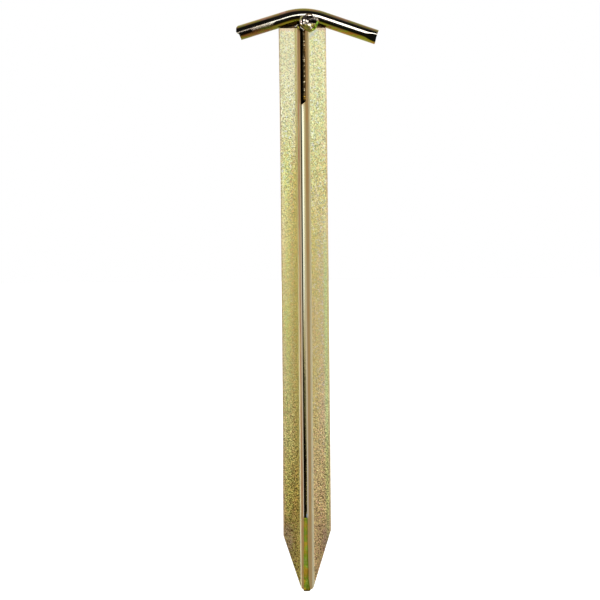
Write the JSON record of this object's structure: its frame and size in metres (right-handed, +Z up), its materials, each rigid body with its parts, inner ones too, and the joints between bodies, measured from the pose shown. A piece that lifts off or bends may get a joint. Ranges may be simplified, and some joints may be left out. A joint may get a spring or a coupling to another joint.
{
  "type": "tent peg",
  "caption": "Folded T-section steel tent peg with a pointed tip and a bent round bar welded across the head as guy-line hooks and hammer face.",
  "frame": {"origin": "on the shaft's centre line in the plane of the flanges' front faces, at the height of the soil surface when the peg is driven in, 15 mm below the top edge of the T section", "axes": "+Z up, away from the tip; +X to the right as seen from the front, along the flanges and the cross bar; +Y backwards, along the rib, so the open slot faces -Y"},
  "size_m": [0.0768, 0.0216, 0.3107],
  "materials": {
    "plated_sheet": "yellow passivated zinc, fine satin grain",
    "plated_bar": "yellow passivated zinc, glossy",
    "plated_weld": "yellow passivated zinc over a rippled weld, glossy",
    "plated_slot_weld": "dark bronze passivated weld, glossy",
    "plated_tip_weld": "olive passivated weld, smooth"
  },
  "bodies": {
    "root": {"tee_shaft": "plated_sheet", "cross_bar": "plated_bar", "head_weld_front": "plated_weld", "head_weld_rear_left": "plated_weld", "head_weld_rear_right": "plated_weld", "slot_weld": "plated_slot_weld", "tip_weld_front": "plated_tip_weld", "tip_weld_rear": "plated_tip_weld"}
  },
  "joints": []
}
